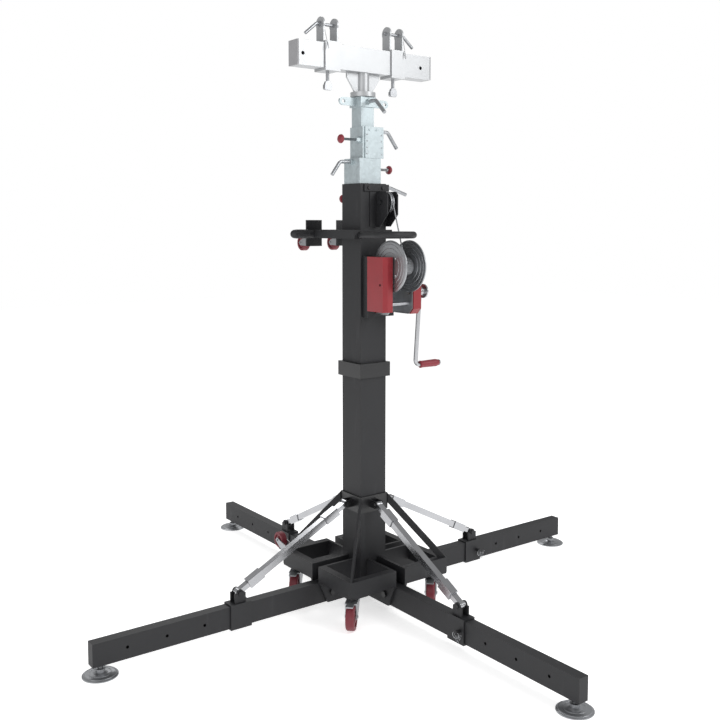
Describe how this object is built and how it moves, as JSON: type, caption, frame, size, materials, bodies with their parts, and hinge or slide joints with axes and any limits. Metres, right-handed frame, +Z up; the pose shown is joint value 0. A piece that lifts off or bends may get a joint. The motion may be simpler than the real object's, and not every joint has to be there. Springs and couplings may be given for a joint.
{
  "type": "crank lighting stand",
  "caption": "Crank lighting stand: square telescoping mast on fold-up outrigger legs with struts and swivel casters, a hand winch and a turning head with truss sleeves.",
  "frame": {"origin": "on the ground under the outer mast's axis, at the centre of the four feet", "axes": "+Z up; the winch faces -Y; the legs lie along +X, +Y, -X and -Y; the head beam lies along X"},
  "size_m": [2.274, 2.274, 2.23],
  "materials": {
    "black_steel": "textured powder coat",
    "zinc": "zinc plated",
    "galvanised": "galvanised",
    "chrome": "polished",
    "aluminium": "mill",
    "red_paint": "gloss",
    "red_plastic": "satin",
    "grey_plastic": "satin",
    "wheel_red": "smooth"
  },
  "bodies": {
    "stand": {"outer_mast": "black_steel", "base_frame": "black_steel", "mast_collars": "black_steel", "diagonal_braces": "black_steel", "pulley_housing": "black_steel", "winch_bracket": "black_steel", "winch_frame": "zinc", "winch_covers": "red_paint", "handle_frame": "black_steel", "transport_forks": "zinc", "mast_fasteners": "zinc", "winch_cable": "chrome"},
    "leg_right": {"leg_right": "black_steel"},
    "leg_collar_right": {"leg_collar_right": "black_steel"},
    "strut_right": {"strut_right": "chrome"},
    "foot_right": {"foot_right": "zinc"},
    "leg_back": {"leg_back": "black_steel"},
    "leg_collar_back": {"leg_collar_back": "black_steel"},
    "strut_back": {"strut_back": "chrome"},
    "foot_back": {"foot_back": "zinc"},
    "leg_left": {"leg_left": "black_steel"},
    "leg_collar_left": {"leg_collar_left": "black_steel"},
    "strut_left": {"strut_left": "chrome"},
    "foot_left": {"foot_left": "zinc"},
    "leg_front": {"leg_front": "black_steel"},
    "leg_collar_front": {"leg_collar_front": "black_steel"},
    "strut_front": {"strut_front": "chrome"},
    "foot_front": {"foot_front": "zinc"},
    "caster_fork_1": {"caster_fork_1": "zinc"},
    "caster_wheel_1": {"caster_wheel_1": "wheel_red"},
    "caster_fork_2": {"caster_fork_2": "zinc"},
    "caster_wheel_2": {"caster_wheel_2": "wheel_red"},
    "caster_fork_3": {"caster_fork_3": "zinc"},
    "caster_wheel_3": {"caster_wheel_3": "wheel_red"},
    "caster_fork_4": {"caster_fork_4": "zinc"},
    "caster_wheel_4": {"caster_wheel_4": "wheel_red"},
    "upper_transport_wheels": {"upper_transport_wheels": "wheel_red"},
    "lower_transport_wheels": {"lower_transport_wheels": "wheel_red"},
    "section_2": {"section_2": "galvanised"},
    "section_3": {"section_3": "galvanised"},
    "section_4": {"section_4": "galvanised"},
    "head": {"head_beam": "aluminium", "beam_end_caps": "grey_plastic"},
    "winch_drum": {"winch_drum": "zinc"},
    "crank": {"crank_arm": "chrome"},
    "crank_grip": {"crank_grip": "red_plastic"},
    "cable_pulley": {"cable_pulley": "zinc"},
    "lock_knob_mast": {"lock_knob_mast": "red_plastic"},
    "lock_knob_section_2": {"lock_knob_section_2": "red_plastic"},
    "lock_knob_section_3": {"lock_knob_section_3": "red_plastic"},
    "clamp_lever_mast": {"clamp_lever_mast": "zinc"},
    "clamp_lever_section_2": {"clamp_lever_section_2": "zinc"},
    "clamp_lever_section_3": {"clamp_lever_section_3": "zinc"},
    "clamp_lever_section_4": {"clamp_lever_section_4": "zinc"},
    "truss_sleeve_left": {"truss_sleeve_left": "aluminium"},
    "truss_pin_left": {"truss_pin_left": "zinc"},
    "wing_screw_left": {"wing_screw_left": "zinc"},
    "truss_sleeve_right": {"truss_sleeve_right": "aluminium"},
    "truss_pin_right": {"truss_pin_right": "zinc"},
    "wing_screw_right": {"wing_screw_right": "zinc"}
  },
  "joints": [
    {"name": "leg_fold_right", "type": "hinge", "parent": "stand", "child": "leg_right", "pos_m": [0.174, 0, 0.078], "axis": [0, -1, 0], "range_deg": [0, 90]},
    {"name": "collar_slide_right", "type": "slide", "parent": "leg_right", "child": "leg_collar_right", "axis": [1, 0, 0], "range_m": [0, 0.462]},
    {"name": "strut_swing_right", "type": "hinge", "parent": "stand", "child": "strut_right", "pos_m": [0.092, 0, 0.399], "axis": [0, -1, 0], "range_deg": [0, 117]},
    {"name": "foot_screw_right", "type": "slide", "parent": "leg_right", "child": "foot_right", "axis": [0, 0, 1], "range_m": [-0.03, 0.006]},
    {"name": "leg_fold_back", "type": "hinge", "parent": "stand", "child": "leg_back", "pos_m": [0, 0.174, 0.078], "axis": [1, 0, 0], "range_deg": [0, 90]},
    {"name": "collar_slide_back", "type": "slide", "parent": "leg_back", "child": "leg_collar_back", "axis": [0, 1, 0], "range_m": [0, 0.462]},
    {"name": "strut_swing_back", "type": "hinge", "parent": "stand", "child": "strut_back", "pos_m": [0, 0.092, 0.399], "axis": [1, 0, 0], "range_deg": [0, 117]},
    {"name": "foot_screw_back", "type": "slide", "parent": "leg_back", "child": "foot_back", "axis": [0, 0, 1], "range_m": [-0.03, 0.006]},
    {"name": "leg_fold_left", "type": "hinge", "parent": "stand", "child": "leg_left", "pos_m": [-0.174, 0, 0.078], "axis": [0, 1, 0], "range_deg": [0, 90]},
    {"name": "collar_slide_left", "type": "slide", "parent": "leg_left", "child": "leg_collar_left", "axis": [-1, 0, 0], "range_m": [0, 0.462]},
    {"name": "strut_swing_left", "type": "hinge", "parent": "stand", "child": "strut_left", "pos_m": [-0.092, 0, 0.399], "axis": [0, 1, 0], "range_deg": [0, 117]},
    {"name": "foot_screw_left", "type": "slide", "parent": "leg_left", "child": "foot_left", "axis": [0, 0, 1], "range_m": [-0.03, 0.006]},
    {"name": "leg_fold_front", "type": "hinge", "parent": "stand", "child": "leg_front", "pos_m": [0, -0.174, 0.078], "axis": [-1, 0, 0], "range_deg": [0, 90]},
    {"name": "collar_slide_front", "type": "slide", "parent": "leg_front", "child": "leg_collar_front", "axis": [0, -1, 0], "range_m": [0, 0.462]},
    {"name": "strut_swing_front", "type": "hinge", "parent": "stand", "child": "strut_front", "pos_m": [0, -0.092, 0.399], "axis": [-1, 0, 0], "range_deg": [0, 117]},
    {"name": "foot_screw_front", "type": "slide", "parent": "leg_front", "child": "foot_front", "axis": [0, 0, 1], "range_m": [-0.03, 0.006]},
    {"name": "caster_swivel_1", "type": "hinge", "parent": "stand", "child": "caster_fork_1", "pos_m": [0.19, 0.19, 0.1], "axis": [0, 0, 1], "continuous": true},
    {"name": "caster_spin_1", "type": "hinge", "parent": "caster_fork_1", "child": "caster_wheel_1", "pos_m": [0.16172, 0.16172, 0.053], "axis": [0.7071, -0.7071, 0], "continuous": true},
    {"name": "caster_swivel_2", "type": "hinge", "parent": "stand", "child": "caster_fork_2", "pos_m": [-0.19, 0.19, 0.1], "axis": [0, 0, 1], "continuous": true},
    {"name": "caster_spin_2", "type": "hinge", "parent": "caster_fork_2", "child": "caster_wheel_2", "pos_m": [-0.21828, 0.16172, 0.053], "axis": [0.7071, -0.7071, 0], "continuous": true},
    {"name": "caster_swivel_3", "type": "hinge", "parent": "stand", "child": "caster_fork_3", "pos_m": [-0.19, -0.19, 0.1], "axis": [0, 0, 1], "continuous": true},
    {"name": "caster_spin_3", "type": "hinge", "parent": "caster_fork_3", "child": "caster_wheel_3", "pos_m": [-0.21828, -0.21828, 0.053], "axis": [0.7071, -0.7071, 0], "continuous": true},
    {"name": "caster_swivel_4", "type": "hinge", "parent": "stand", "child": "caster_fork_4", "pos_m": [0.19, -0.19, 0.1], "axis": [0, 0, 1], "continuous": true},
    {"name": "caster_spin_4", "type": "hinge", "parent": "caster_fork_4", "child": "caster_wheel_4", "pos_m": [0.16172, -0.21828, 0.053], "axis": [0.7071, -0.7071, 0], "continuous": true},
    {"name": "upper_wheels_spin", "type": "hinge", "parent": "stand", "child": "upper_transport_wheels", "pos_m": [0, 0.312, 1.402], "axis": [1, 0, 0], "continuous": true},
    {"name": "lower_wheels_spin", "type": "hinge", "parent": "stand", "child": "lower_transport_wheels", "pos_m": [0, 0.311, 0.19], "axis": [1, 0, 0], "continuous": true},
    {"name": "lift", "type": "slide", "parent": "stand", "child": "section_2", "axis": [0, 0, 1], "range_m": [0, 1.2]},
    {"name": "lift_3", "type": "slide", "parent": "section_2", "child": "section_3", "axis": [0, 0, 1], "range_m": [0, 1.2]},
    {"name": "lift_4", "type": "slide", "parent": "section_3", "child": "section_4", "axis": [0, 0, 1], "range_m": [0, 1.2]},
    {"name": "head_turn", "type": "hinge", "parent": "section_4", "child": "head", "pos_m": [-0.0057, 0, 1.955], "axis": [0, 0, 1], "continuous": true},
    {"name": "drum_turn", "type": "hinge", "parent": "stand", "child": "winch_drum", "pos_m": [0.038, -0.174, 1.319], "axis": [1, 0, 0], "continuous": true},
    {"name": "crank_turn", "type": "hinge", "parent": "stand", "child": "crank", "pos_m": [0.038, -0.167, 1.222], "axis": [1, 0, 0], "continuous": true},
    {"name": "pulley_turn", "type": "hinge", "parent": "stand", "child": "cable_pulley", "pos_m": [0.038, -0.09, 1.557], "axis": [1, 0, 0], "continuous": true},
    {"name": "grip_spin", "type": "hinge", "parent": "crank", "child": "crank_grip", "pos_m": [0.2, -0.143, 0.936], "axis": [1, 0, 0], "continuous": true},
    {"name": "knob_pull_mast", "type": "slide", "parent": "stand", "child": "lock_knob_mast", "axis": [0, 1, 0], "range_m": [0, 0.01], "stiffness_N_per_m": 600, "springref_m": -0.005},
    {"name": "knob_pull_section_2", "type": "slide", "parent": "section_2", "child": "lock_knob_section_2", "axis": [1, 0, 0], "range_m": [0, 0.01], "stiffness_N_per_m": 600, "springref_m": -0.005},
    {"name": "knob_pull_section_3", "type": "slide", "parent": "section_3", "child": "lock_knob_section_3", "axis": [-1, 0, 0], "range_m": [0, 0.01], "stiffness_N_per_m": 600, "springref_m": -0.005},
    {"name": "lever_turn_mast", "type": "hinge", "parent": "stand", "child": "clamp_lever_mast", "pos_m": [0.08, 0, 1.616], "axis": [1, 0, 0], "range_deg": [-90, 90]},
    {"name": "lever_turn_section_2", "type": "hinge", "parent": "section_2", "child": "clamp_lever_section_2", "pos_m": [-0.08, 0, 1.71], "axis": [1, 0, 0], "range_deg": [-90, 90]},
    {"name": "lever_turn_section_3", "type": "hinge", "parent": "section_3", "child": "clamp_lever_section_3", "pos_m": [0.08, 0, 1.83], "axis": [1, 0, 0], "range_deg": [-90, 90]},
    {"name": "lever_turn_section_4", "type": "hinge", "parent": "section_4", "child": "clamp_lever_section_4", "pos_m": [-0.0057, -0.06, 1.936], "axis": [0, 1, 0], "range_deg": [-90, 90]},
    {"name": "sleeve_slide_left", "type": "slide", "parent": "head", "child": "truss_sleeve_left", "axis": [1, 0, 0], "range_m": [-0.108, 0.05]},
    {"name": "pin_pull_left", "type": "slide", "parent": "truss_sleeve_left", "child": "truss_pin_left", "axis": [-1, 0, 0], "range_m": [0, 0.1]},
    {"name": "wing_turn_left", "type": "hinge", "parent": "truss_sleeve_left", "child": "wing_screw_left", "pos_m": [-0.1677, 0, 2], "axis": [0, 0, 1], "continuous": true},
    {"name": "sleeve_slide_right", "type": "slide", "parent": "head", "child": "truss_sleeve_right", "axis": [1, 0, 0], "range_m": [-0.034, 0.12]},
    {"name": "pin_pull_right", "type": "slide", "parent": "truss_sleeve_right", "child": "truss_pin_right", "axis": [1, 0, 0], "range_m": [0, 0.1]},
    {"name": "wing_turn_right", "type": "hinge", "parent": "truss_sleeve_right", "child": "wing_screw_right", "pos_m": [0.1383, 0, 2], "axis": [0, 0, 1], "continuous": true}
  ],
  "couplings": [
    {"joint": "collar_slide_right", "follows": "leg_fold_right", "m_per_rad": 0.29339},
    {"joint": "strut_swing_right", "follows": "leg_fold_right", "ratio": 1.2976},
    {"joint": "collar_slide_back", "follows": "leg_fold_back", "m_per_rad": 0.29339},
    {"joint": "strut_swing_back", "follows": "leg_fold_back", "ratio": 1.2976},
    {"joint": "collar_slide_left", "follows": "leg_fold_left", "m_per_rad": 0.29339},
    {"joint": "strut_swing_left", "follows": "leg_fold_left", "ratio": 1.2976},
    {"joint": "collar_slide_front", "follows": "leg_fold_front", "m_per_rad": 0.29339},
    {"joint": "strut_swing_front", "follows": "leg_fold_front", "ratio": 1.2976},
    {"joint": "lift_3", "follows": "lift", "ratio": 1},
    {"joint": "lift_4", "follows": "lift", "ratio": 1},
    {"joint": "drum_turn", "follows": "lift", "rad_per_m": 30.303},
    {"joint": "crank_turn", "follows": "lift", "rad_per_m": -125.66},
    {"joint": "pulley_turn", "follows": "lift", "rad_per_m": 26.316}
  ]
}
